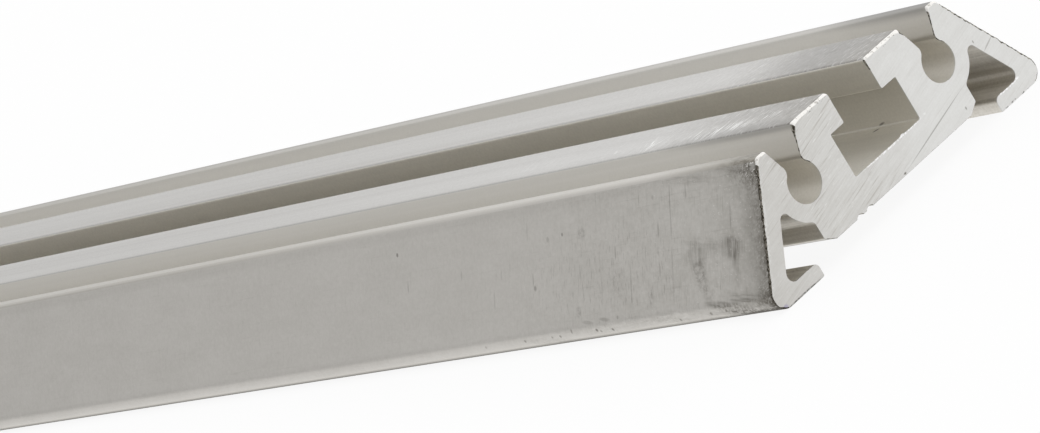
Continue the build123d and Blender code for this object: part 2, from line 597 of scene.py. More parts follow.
class Canvas:
    """The nodes of one finish, with the places on the rail that its patterns read."""

    def __init__(self, name: str, half_length: float) -> None:
        """Start an empty material.

        Args:
            name: The material's name.
            half_length: Distance along X from the rail's middle to its near cut.
        """
        self.material = bpy.data.materials.new(name)
        self.material.use_nodes = True
        self.tree = self.material.node_tree
        self.tree.nodes.clear()
        self.near_cut = half_length
        space = add_node(self.tree, "ShaderNodeTexCoord", output="Object")
        self.place = add_node(self.tree, "ShaderNodeMapping", {"Vector": space, "Scale": (1 / MM,) * 3})
        along = add_node(self.tree, "ShaderNodeSeparateXYZ", (self.place,))
        self.across, self.height = along.node.outputs["Y"], along.node.outputs["Z"]
        self.from_cut = add_node(self.tree, "ShaderNodeMath", (half_length, along), operation="SUBTRACT")

    def marks(
        self,
        size: Triple,
        low: float = 0.3,
        high: float = 0.7,
        turn: Triple = (0.0, 0.0, 0.0),
        shift: float = 0.0,
        detail: float = 2.0,
    ) -> Socket:
        """Scatter marks of a real size over the surface.

        Args:
            size: Size of a mark along each of its own axes.
            low: Noise level under which there is no mark.
            high: Noise level above which the mark is full.
            turn: Turn of the marks about X, Y and Z.
            shift: Moves the pattern, so that two of one size differ.
            detail: How broken up a mark is.

        Returns:
            A socket from 0 to 1.
        """
        laid = {"Vector": self.place, "Location": (shift,) * 3, "Rotation": turn, "Scale": size}
        spread = add_node(self.tree, "ShaderNodeMapping", laid, vector_type="TEXTURE")
        scatter = {"Vector": spread, "Scale": 1.0, "Detail": detail, "Roughness": 0.55}
        level = add_node(self.tree, "ShaderNodeTexNoise", scatter, output="Fac")
        return add_node(self.tree, "ShaderNodeMapRange", (level, low, high, 0.0, 1.0))

    def spot(
        self,
        place: Triple,
        half: Triple,
        turn: Triple = (0.0, 0.0, 0.0),
        core: float = 0.2,
    ) -> Socket:
        """Lay one soft-edged spot.

        Args:
            place: Middle of the spot, with X as the distance from the near cut.
            half: Half its size along each of its own axes.
            turn: Its turn about X, Y and Z.
            core: Share of its size that is full.

        Returns:
            A socket that is 1 inside and 0 outside.
        """
        middle = (self.near_cut - place[0], place[1], place[2])
        laid = {"Vector": self.place, "Location": middle, "Rotation": turn, "Scale": half}
        spread = add_node(self.tree, "ShaderNodeMapping", laid, vector_type="TEXTURE")
        reach = add_node(self.tree, "ShaderNodeVectorMath", (spread,), output="Value", operation="LENGTH")
        return add_node(
            self.tree, "ShaderNodeMapRange", (reach, core, 1.0, 1.0, 0.0), interpolation_type="SMOOTHSTEP"
        )

    def times(self, *parts: Socket | float) -> Socket:
        """Multiply patterns and numbers.

        Args:
            *parts: What is multiplied, a pattern first.

        Returns:
            The product's socket.
        """
        product = parts[0]
        for part in parts[1:]:
            product = add_node(self.tree, "ShaderNodeMath", (product, part), operation="MULTIPLY")
        return product

    def added(
        self, parts: Sequence[tuple[Socket, float]], start: float = 0.0
    ) -> Socket:
        """Add patterns up, each times its own weight.

        Args:
            parts: Pairs of a pattern and its weight.
            start: What the sum starts from.

        Returns:
            The sum's socket.
        """
        total = start
        for socket, weight in parts:
            total = add_node(self.tree, "ShaderNodeMath", (socket, weight, total), operation="MULTIPLY_ADD")
        return total

    def stained(self, clean: str, *stains: tuple[str, Socket]) -> Socket:
        """Lay stains over a clean colour, one after another.

        Args:
            clean: The clean colour as sRGB hex.
            *stains: Pairs of a stain's colour, as sRGB hex, and how much of it shows.

        Returns:
            The mixed colour.
        """
        mixed = linear(clean)
        for stain, shown in stains:
            layers = {MIX_FACTOR: shown, MIX_A: mixed, MIX_B: linear(stain)}
            mixed = add_node(
                self.tree, "ShaderNodeMix", layers, MIX_RESULT, data_type="RGBA", clamp_factor=True
            )
        return mixed

    def finish(
        self,
        colour: Socket,
        roughness: Socket | float,
        relief: Socket,
        depth: float,
    ) -> bpy.types.Material:
        """Join the patterns to a bare metal.

        Args:
            colour: The metal's colour.
            roughness: Its roughness.
            relief: Height of its relief, from 0 to 1.
            depth: Depth of the relief in millimetres.

        Returns:
            The finished material.
        """
        raised = {"Strength": 1.0, "Distance": depth * MM, "Height": relief}
        bump = add_node(self.tree, "ShaderNodeBump", raised)
        metal = {"Base Color": colour, "Metallic": 1.0, "Roughness": roughness, "Normal": bump}
        shader = add_node(self.tree, "ShaderNodeBsdfPrincipled", metal)
        add_node(self.tree, "ShaderNodeOutputMaterial", {"Surface": shader})
        return self.material


@dataclass(frozen=True)
class AluminiumFinish:
    """Bare aluminium: what every finish of the rail shares."""

    name: str
    colour: str
    shade: str
    roughness: float

    def material(self, half_length: float) -> bpy.types.Material:
        """Build the finish's material for a rail of a given half length."""
        raise NotImplementedError


@dataclass(frozen=True)
class MillFinish(AluminiumFinish):
    """Mill finish, as the metal leaves the die: long fine lines along the rail and soft broad bands.

    Real die lines and grain are hundredths of a millimetre wide, so they are drawn coarse enough to show.
    """

    lines: float
    bands: float
    dull: float
    grime: str = "#6A645A"
    dim_grey: str = "#8D8B89"
    grain: float = 0.1
    dull_length: float = 24.0
    far_shade: float = 0.2
    relief: float = 0.012

    def material(self, half_length: float) -> bpy.types.Material:
        """Lay out die lines, bands and grain, duller and handled next to the near cut.

        Args:
            half_length: Half the rail's length.

        Returns:
            The material.
        """
        canvas = Canvas(self.name, half_length)
        lines = canvas.marks((260, 0.45, 0.45))
        bands = canvas.marks((500, 4.0, 4.0), shift=31)
        grain = canvas.marks((0.35,) * 3, 0.2, 0.8)
        dull = add_node(canvas.tree, "ShaderNodeMapRange", (canvas.from_cut, 0.0, self.dull_length, 1.0, 0.0))
        # Painted shade: the tops grow greyer away from the near cut, as the light falls off along the rail
        far_shading = (canvas.from_cut, FAR_SHADE_FROM, FAR_SHADE_TO, 0.0, self.far_shade)
        far_shade = add_node(canvas.tree, "ShaderNodeMapRange", far_shading)
        tone = canvas.added(
            [(lines, self.lines), (bands, self.bands), (grain, self.grain), (dull, self.dull), (far_shade, 1.0)]
        )
        rim = canvas.spot((6.0, -11.3, 18.5), (28.0, 1.0, 0.9))
        # Painted shade: the back leg's tip is darkened all along the rail
        back_tip_shade = canvas.spot((0.0, 19.3, 18.3), (1000.0, 2.5, 1.2))
        back_corner = canvas.spot((0.0, 18.3, 18.3), (30.0, 3.0, 1.5))
        darkened = canvas.added([(rim, 0.5), (back_tip_shade, 0.4), (back_corner, 0.55)])
        handled = canvas.spot((1.5, -19.0, 18.2), (9.0, 3.0, 1.5))
        smears = canvas.marks((1.2, 0.5, 0.5), 0.3, 0.6, shift=8)
        smeared = canvas.times(handled, smears, 0.55)
        stains = ((self.shade, tone), (self.dim_grey, darkened), (self.grime, smeared))
        colour = canvas.stained(self.colour, *stains)
        roughness = canvas.added([(lines, 0.08), (grain, 0.04)], self.roughness)
        return canvas.finish(colour, roughness, canvas.added([(lines, 0.7), (grain, 0.3)]), self.relief)


@dataclass(frozen=True)
class ScratchPatch:
    """A patch of fine pale scratches on the front lip."""

    from_cut: float
    across: float
    half_length: float
    half_width: float
    turn: float
    strength: float


@dataclass(frozen=True)
class LipFinish(AluminiumFinish):
    """Mill finish of the slot's lips, rubbed: faint lines along them and pale scratches in front.

    Lines, grain and scratches are drawn coarser than the real ones, so that they show.
    """

    scratch: str = "#FDFDFC"
    # Colour of the painted shadow beside the filed edge
    rim: str = "#6E6A64"
    dim_grey: str = "#8F8D8B"
    dull: float = 0.75
    dull_length: float = 34.0
    far_shade: float = 0.15
    lip_top: float = 18.7
    mark_depth: float = 40.0
    patch_depth: float = 5.0
    relief: float = 0.006
    patches: tuple[ScratchPatch, ...] = ()

    def scratches(self, canvas: Canvas, worn: Socket) -> Socket:
        """Lay out the pale scratches: hairs all over, ticks near the cut and the patches in front.

        Args:
            canvas: The finish's nodes.
            worn: How worn a place is, from 0 to 1.

        Returns:
            How much scratched metal shows.
        """
        depth = self.mark_depth
        hairs = canvas.marks((2.5, 0.15, depth), 0.62, 0.7, (0.0, 0.0, radians(65.0)), shift=5)
        near = add_node(canvas.tree, "ShaderNodeMapRange", (canvas.from_cut, 30.0, 90.0, 0.35, 0.1))
        ticks = canvas.marks((1.6, 0.45, depth), 0.57, 0.66, (0.0, 0.0, radians(72.0)), shift=61)
        shown = canvas.added([(canvas.times(hairs, near), 1.0), (canvas.times(ticks, worn), 0.4)])
        for at, patch in enumerate(self.patches):
            half = (patch.half_length, patch.half_width, self.patch_depth)
            spot = canvas.spot((patch.from_cut, patch.across, self.lip_top), half)
            turn = (0.0, 0.0, patch.turn)
            cuts = canvas.marks((3.4, 0.32, depth), 0.58, 0.63, turn, shift=3.0 * at, detail=1.0)
            shown = canvas.added([(canvas.times(spot, cuts), patch.strength)], shown)
        return shown

    def material(self, half_length: float) -> bpy.types.Material:
        """Lay out die lines, the dull end, the scratches and the painted shadow line along the filed edge.

        Args:
            half_length: Half the rail's length.

        Returns:
            The material.
        """
        canvas = Canvas(self.name, half_length)
        tree = canvas.tree
        lines = canvas.marks((200, 0.4, 0.4))
        bands = canvas.marks((400, 2.5, 2.5), shift=12)
        grain = canvas.marks((0.4,) * 3, 0.2, 0.8)
        dull = add_node(tree, "ShaderNodeMapRange", (canvas.from_cut, 0.0, self.dull_length, 1.0, 0.0))
        # Painted shade: the lips grow greyer away from the near cut, as the light falls off along the rail
        far_shade = add_node(tree, "ShaderNodeMapRange", (canvas.from_cut, FAR_SHADE_FROM, FAR_SHADE_TO, 0.0, self.far_shade))
        tone = canvas.added([(lines, 0.1), (bands, 0.2), (grain, 0.2), (dull, self.dull), (far_shade, 1.0)])
        worn = add_node(tree, "ShaderNodeMapRange", (canvas.from_cut, 12.0, 45.0, 1.0, 0.0))
        shown = self.scratches(canvas, worn)
        dirt = canvas.marks((0.5, 0.8, self.mark_depth), 0.35, 0.55, shift=7)
        # Painted shadow: a hatched dark line just behind the filed edge
        rim = add_node(tree, "ShaderNodeMapRange", (canvas.from_cut, 0.4, 1.0, 0.9, 0.0))
        nicks = canvas.marks((1.4, 0.4, self.mark_depth), 0.58, 0.66, (0.0, 0.0, radians(66.0)), shift=83)
        shadow_and_nicks = canvas.added([(canvas.times(rim, dirt), 1.0), (canvas.times(nicks, worn), 0.3)])
        front = canvas.spot((12.0, -10.8, self.lip_top), (22.0, 2.2, 2.0))
        back = canvas.spot((13.0, 8.0, self.lip_top), (15.0, 8.0, 2.0))
        darkened = canvas.added([(front, 0.35), (back, 0.45)])
        stains = ((self.shade, tone), (self.scratch, shown), (self.rim, shadow_and_nicks), (self.dim_grey, darkened))
        colour = canvas.stained(self.colour, *stains)
        roughness = canvas.added([(grain, 0.06), (shown, 0.1)], self.roughness)
        relief = canvas.added([(lines, 0.5), (shown, -0.5)])
        return canvas.finish(colour, roughness, relief, self.relief)


@dataclass(frozen=True)
class RubMark:
    """A dark mark rubbed into the front leg, streaky or, with no streak, plain."""

    streak: Streak | None
    from_cut: float
    height: float
    half_length: float
    half_height: float
    strength: float


@dataclass(frozen=True)
class HandledFinish(AluminiumFinish):
    """Mill finish of a leg, handled: an even grey with cross marks, rubbed dark next to the saw cut.

    Grain, ticks and hairs are drawn coarser than the real ones, so that they show.
    """

    # Colour of the grime, and of the painted shade laid with it
    grime: str = "#5C574E"
    burr: str = "#E6E4E0"
    # Colour of the painted highlight on the foot's rounded bottom
    sole: str = "#D9D5CE"
    cross_turn: float = radians(7.0)
    rubbed: float = 0.85
    rub_fade: float = 3.0
    relief: float = 0.012
    rub_marks: tuple[RubMark, ...] = ()

    @property
    def crossing(self) -> Triple:
        """Turn of the marks that run across the leg."""
        return (0.0, self.cross_turn, 0.0)

    def dirt(self, canvas: Canvas, blotches: Socket) -> Socket:
        """Lay out the grime by the cut and in marks, and painted shade in two bands and a line under the
        foot.

        Args:
            canvas: The finish's nodes.
            blotches: Blotches of the worn surface, which break the grime up.

        Returns:
            How much grime and painted shade each place has.
        """
        tree = canvas.tree
        streaks = {}
        for kind in Streak:
            streaky = canvas.marks(kind.value, 0.4, 0.62, self.crossing, shift=3, detail=3.0)
            streaks[kind] = canvas.added([(streaky, 0.8)], 0.2)
        away = canvas.times(canvas.from_cut, -1 / self.rub_fade)
        faded = add_node(tree, "ShaderNodeMath", (away,), operation="EXPONENT")
        patchy = canvas.added([(streaks[Streak.SCRIBBLE], 0.35), (blotches, 0.25)], 0.6)
        stain = canvas.times(faded, patchy, self.rubbed)
        ticks = canvas.marks((0.26, THROUGH_LEG, 1.5), 0.57, 0.7, self.crossing, shift=33)
        ticked = canvas.spot((32.0, 0.0, 8.0), (34.0, ENDLESS, 9.0))
        # Painted shade: faint bands where the face turns into the foot's rounding and under the tip
        turn_in_shade = canvas.spot((0.0, 0.0, 2.45), (ENDLESS, ENDLESS, 0.9))
        under_tip_shade = canvas.spot((0.0, 0.0, 17.5), (ENDLESS, ENDLESS, 0.9))
        stain = canvas.added([(canvas.times(ticks, ticked), 0.3), (turn_in_shade, 0.08), (under_tip_shade, 0.05)], stain)
        for mark in self.rub_marks:
            half = (mark.half_length, ENDLESS, mark.half_height)
            spot = canvas.spot((mark.from_cut, 0.0, mark.height), half, self.crossing, core=0.4)
            laid = canvas.times(spot, streaks[mark.streak]) if mark.streak else spot
            stain = canvas.added([(laid, mark.strength)], stain)
        # Dark hairs reach back from the cut, each to a length of its own
        hair = canvas.marks((30.0, 0.14, 0.14), 0.45, 0.8, shift=21, detail=1.0)
        reach = canvas.added([(hair, 1.3)], 0.35)
        share = add_node(tree, "ShaderNodeMath", (canvas.from_cut, reach), operation="DIVIDE")
        hairs = add_node(tree, "ShaderNodeMapRange", (share, 0.5, 1.0, 0.65, 0.0))
        stain = add_node(tree, "ShaderNodeMath", (stain, hairs), operation="MAXIMUM")
        # Painted shadow: a dark line along the foot's bottom, next to the floor
        under_foot_shadow = add_node(tree, "ShaderNodeMapRange", (canvas.height, 0.5, 1.15, 0.95, 0.0))
        return canvas.added([(under_foot_shadow, 1.0)], stain)

    def bare(self, canvas: Canvas, near: Socket) -> Socket:
        """Lay out the clean metal: torn tags at the cut, specks, the top corner and flakes on the foot.

        Args:
            canvas: The finish's nodes.
            near: How near a place is to the cut, from 0 to 1.

        Returns:
            How much clean metal shows.
        """
        tree = canvas.tree
        tags = canvas.marks((1.2, 0.2, 0.2), 0.6, 0.68, (0.0, radians(-35.0), 0.0), shift=14, detail=1.0)
        edge = add_node(tree, "ShaderNodeMapRange", (canvas.from_cut, 0.3, 3.0, 0.35, 0.0))
        corner = canvas.spot((0.5, 0.0, 17.4), (6.0, ENDLESS, 1.6))
        torn = canvas.times(tags, canvas.added([(corner, 0.8)], edge))
        specks = canvas.times(canvas.marks((0.35, 0.3, 0.3), 0.66, 0.72, shift=19), near)
        bare_corner = canvas.spot((1.0, 0.0, 17.6), (1.0, ENDLESS, 0.8))
        clean = canvas.spot((16.0, 0.0, 13.5), (16.0, ENDLESS, 3.0))
        foot = canvas.spot((0.0, 0.0, 2.0), (ENDLESS, ENDLESS, 1.0), core=0.8)
        flakes = canvas.marks((1.6, 0.5, 0.3), 0.5, 0.62, shift=51)
        past_dirt = add_node(tree, "ShaderNodeMapRange", (canvas.from_cut, 10.0, 20.0, 0.0, 0.28))
        flaked = canvas.times(foot, flakes, near, past_dirt)
        return canvas.added([(torn, 1.0), (specks, 0.5), (bare_corner, 0.35), (clean, 0.12), (flaked, 1.0)])

    def material(self, half_length: float) -> bpy.types.Material:
        """Lay out grain and cross marks, then the grime and the clean metal over them.

        Args:
            half_length: Half the rail's length.

        Returns:
            The material.
        """
        canvas = Canvas(self.name, half_length)
        tree = canvas.tree
        grain = canvas.marks((0.4,) * 3, 0.2, 0.8)
        clouds = canvas.marks((10.0, 10.0, 3.0), 0.35, 0.65, shift=5)
        blotches = canvas.marks((2.2, 40.0, 1.4), 0.35, 0.65, self.crossing, shift=6)
        across = canvas.marks((0.2, THROUGH_LEG, 3.0), 0.6, 0.8, self.crossing, detail=3.0)
        along = canvas.marks((8.0, 0.25, 0.25), 0.6, 0.8, shift=9)
        mottle = canvas.marks((0.9, 0.9, 0.6), shift=27)
        near = add_node(tree, "ShaderNodeMapRange", (canvas.from_cut, 5.0, 60.0, 1.0, 0.0))
        worn = canvas.added([(blotches, 0.15), (across, 0.5), (along, 0.2), (clouds, 0.1), (mottle, 0.15)])
        tone = canvas.added([(grain, 0.2), (clouds, 0.1), (across, 0.25), (along, 0.15), (mottle, 0.12)])
        tone = canvas.added([(canvas.times(near, worn), 1.0)], tone)
        # Painted highlight: the foot's rounded bottom is lighter, as it mirrors the floor
        sole_highlight = add_node(tree, "ShaderNodeMapRange", (canvas.height, 0.8, 1.6, 1.0, 0.0))
        # Grime, with painted shade and a painted shadow line
        dirt = self.dirt(canvas, blotches)
        bare = self.bare(canvas, near)
        stains = ((self.shade, tone), (self.sole, sole_highlight), (self.grime, dirt), (self.burr, bare))
        colour = canvas.stained(self.colour, *stains)
        roughness = canvas.added([(grain, 0.04), (dirt, 0.15)], self.roughness)
        return canvas.finish(colour, roughness, canvas.added([(grain, 0.4), (across, -0.6)]), self.relief)


@dataclass(frozen=True)
class InsideFinish(AluminiumFinish):
    """Mill finish inside the slot, ports and pockets: untouched, warmer where it mirrors itself.

    Die lines and grain are drawn coarser than the real ones, so that they show.
    """

    nick: str = "#4E4839"
    lines: float = 0.1
    # Depth of the painted shade that darkens the inside away from the near cut
    deep: float = 0.0
    relief: float = 0.012

    def material(self, half_length: float) -> bpy.types.Material:
        """Lay out die lines, grain, the nicks where the slot's wall meets its floor and the fallen crumbs.

        Args:
            half_length: Half the rail's length.

        Returns:
            The material.
        """
        canvas = Canvas(self.name, half_length)
        lines = canvas.marks((160, 0.5, 0.5))
        bands = canvas.marks((300, 2.5, 2.5), shift=4)
        grain = canvas.marks((0.35,) * 3, 0.2, 0.8)
        # Painted shade: the inside grows darker further from the near cut
        deep = add_node(canvas.tree, "ShaderNodeMapRange", (canvas.from_cut, 5.0, 120.0, 0.0, self.deep))
        tone = canvas.added([(lines, self.lines), (bands, 0.2), (grain, 0.4), (deep, 1.0)])
        wall_nick = canvas.spot((7.9, 6.95, 7.6), (1.0, 1.0, 0.22), (0.0, radians(-15.0), 0.0))
        floor_nick = canvas.spot((8.5, 6.0, 7.25), (0.7, 0.35, 0.5), (0.0, 0.0, radians(46.0)))
        nicks = canvas.added([(wall_nick, 0.65), (floor_nick, 0.85)])
        colour = canvas.stained(self.colour, (self.shade, tone), (self.nick, nicks))
        crumbs = canvas.marks((0.22,) * 3, 0.58, 0.64, shift=3)
        fallen = canvas.times(canvas.spot((0.5, -3.5, 7.25), (3.0, 3.5, 0.5)), crumbs)
        roughness = canvas.added([(grain, 0.05), (fallen, 0.3)], self.roughness)
        relief = canvas.added([(lines, self.lines), (grain, 0.3), (fallen, 4.0)])
        return canvas.finish(colour, roughness, relief, self.relief)


@dataclass(frozen=True)
class SawnFinish(AluminiumFinish):
    """A sawn face: fine slanting tooth marks that catch the light as pale and grey lines.

    The teeth's own marks are finer, and these are drawn coarse enough to show.
    """

    scratch: str = "#85827A"
    glint: str = "#FFFFFF"
    grime: str = "#4C4A42"
    # Colour of the painted sheen on the front foot's corner
    painted_sheen: str = "#8E86B4"
    mark_slope: float = radians(13.0)
    leg_lean: float = radians(31.0)
    relief: float = 0.012

    @property
    def slope(self) -> Triple:
        """Turn of the tooth marks."""
        return (self.mark_slope, 0.0, 0.0)

    def burrs(self, canvas: Canvas) -> Socket:
        """Lay out the crumbs of metal along the front leg, the slot's floor and the back foot, as painted
        highlights.

        Args:
            canvas: The finish's nodes.

        Returns:
            How much of the crumbs shows.
        """
        leg = canvas.spot((0.0, -24.4, 9.0), (CUT_DEPTH, 0.5, 11.0), (-self.leg_lean, 0.0, 0.0), core=0.5)
        slot = canvas.spot((0.0, 1.0, 7.35), (CUT_DEPTH, 8.0, 0.4), core=0.7)
        foot = canvas.spot((0.0, 22.0, 2.3), (CUT_DEPTH, 3.5, 0.35), core=0.7)
        crumbs = canvas.marks((0.35,) * 3, 0.45, 0.55, shift=2)
        return canvas.times(crumbs, canvas.added([(leg, 0.2), (slot, 1.0), (foot, 1.0)]))

    def faults(self, canvas: Canvas) -> Socket:
        """Lay out the long scratch over the base, the short one on the back leg, and the pits.

        Args:
            canvas: The finish's nodes.

        Returns:
            How much of each shows.
        """
        long_scratch = canvas.spot((0.0, 8.5, 4.9), (CUT_DEPTH, 9.0, 0.13), self.slope, core=0.4)
        steeper = (radians(21.0), 0.0, 0.0)
        short_scratch = canvas.spot((0.0, 23.1, 8.7), (CUT_DEPTH, 1.6, 0.16), steeper, core=0.4)
        pit = canvas.spot((0.0, 0.2, 3.0), (CUT_DEPTH, 0.35, 0.22))
        small_pit = canvas.spot((0.0, 14.4, 4.0), (CUT_DEPTH, 0.2, 0.35))
        tick = canvas.spot((0.0, 21.1, 10.3), (CUT_DEPTH, 0.15, 0.35))
        scratches = canvas.added([(long_scratch, 0.5), (short_scratch, 0.4)])
        return canvas.added([(pit, 1.0), (small_pit, 0.7), (tick, 0.7)], scratches)

    def dirt(self, canvas: Canvas) -> Socket:
        """Lay out the dirt in the chips along both soles and in the nicks along both lips.

        Args:
            canvas: The finish's nodes.

        Returns:
            How dirty each place is.
        """
        front_sole, back_sole = (
            canvas.spot((0.0, across, 0.05), (CUT_DEPTH, 4.4, 0.3), core=0.6) for across in (-23.6, 23.0)
        )
        front_lip, back_lip = (
            canvas.spot((0.0, across, 18.4), (CUT_DEPTH, 4.2, 0.25), core=0.6) for across in (-7.6, 7.6)
        )
        many_chips = canvas.marks((0.6, 0.6, 0.4), 0.42, 0.55, shift=11)
        few_chips = canvas.marks((0.6, 0.6, 0.4), 0.56, 0.64, shift=27)
        nicks = canvas.marks((0.4, 0.4, 0.3), 0.6, 0.66, shift=41)
        in_front = canvas.times(front_sole, canvas.added([(many_chips, 0.5)], 0.35))
        behind = canvas.times(back_sole, few_chips)
        on_lips = canvas.times(canvas.added([(front_lip, 1.0), (back_lip, 1.0)]), nicks)
        return canvas.added([(in_front, 1.0), (behind, 0.9), (on_lips, 0.8)])

    def material(self, half_length: float) -> bpy.types.Material:
        """Lay out the tooth marks, plainest in front of the slot, then painted glints, burrs, faults and dirt
        over them.

        Args:
            half_length: Half the rail's length.

        Returns:
            The material.
        """
        canvas = Canvas(self.name, half_length)
        tree = canvas.tree
        fine = canvas.marks((3.0, 5.0, 0.22), turn=self.slope, detail=3.0)
        deep = canvas.marks((3.0, 7.0, 0.24), 0.6, 0.7, self.slope, shift=17)
        grain = canvas.marks((0.3,) * 3, 0.2, 0.8)
        clouds = canvas.marks((3.0, 3.5, 1.5), turn=self.slope, shift=3)
        in_front = add_node(tree, "ShaderNodeMapRange", (canvas.across, -6.0, 8.0, 1.0, 0.25))
        off_leg = add_node(tree, "ShaderNodeMapRange", (canvas.across, -24.0, -16.0, 0.3, 1.0))
        plain = canvas.times(in_front, off_leg)
        # Painted shade: the face grows darker towards the front
        dull = add_node(tree, "ShaderNodeMapRange", (canvas.across, -28.0, 8.0, 0.4, 0.0))
        sawn = canvas.times(plain, canvas.added([(fine, 0.14), (deep, 0.4)]))
        tone = canvas.added([(sawn, 1.0), (grain, 0.12), (clouds, 0.08), (dull, 1.0)])
        # Painted highlights: white glints on the tooth marks and on the crumbs
        glints = canvas.marks((3.0, 1.4, 0.16), 0.62, 0.76, self.slope, shift=23)
        burrs = self.burrs(canvas)
        glinting = canvas.added([(canvas.times(plain, glints), 0.4), (burrs, 1.0)])
        # A faint violet painted sheen lies on the corner of the front foot
        heel_sheen = canvas.spot((0.0, -27.3, 0.5), (CUT_DEPTH, 0.7, 0.5))
        colour = canvas.stained(
            self.colour,
            (self.shade, tone),
            (self.glint, glinting),
            (self.scratch, self.faults(canvas)),
            (self.grime, self.dirt(canvas)),
            (self.painted_sheen, canvas.times(heel_sheen, 0.5)),
        )
        roughness = canvas.added([(fine, 0.1)], self.roughness)
        return canvas.finish(colour, roughness, canvas.added([(sawn, -1.0), (burrs, 0.5)]), self.relief)


@dataclass(frozen=True)
class EdgeFinish(AluminiumFinish):
    """A broken cut edge: small chips of one colour in an edge of another, coarse enough to show."""

    chip_size: float
    chip_low: float
    chip_high: float
    dirt: str = "#3E3931"
    dirtied: float = 0.0
    relief: float = 0.02

    def material(self, half_length: float) -> bpy.types.Material:
        """Lay out the chips and the dirt behind them.

        Args:
            half_length: Half the rail's length.

        Returns:
            The material.
        """
        canvas = Canvas(self.name, half_length)
        chips = canvas.marks((self.chip_size,) * 3, self.chip_low, self.chip_high)
        behind = add_node(canvas.tree, "ShaderNodeMapRange", (canvas.from_cut, 0.05, 0.3, 0.0, self.dirtied))
        below = add_node(canvas.tree, "ShaderNodeMapRange", (canvas.height, 1.5, 5.0, self.dirtied, 0.0))
        dirt = add_node(canvas.tree, "ShaderNodeMath", (behind, below), operation="MAXIMUM")
        colour = canvas.stained(self.colour, (self.shade, chips), (self.dirt, dirt))
        return canvas.finish(colour, self.roughness, chips, self.relief)


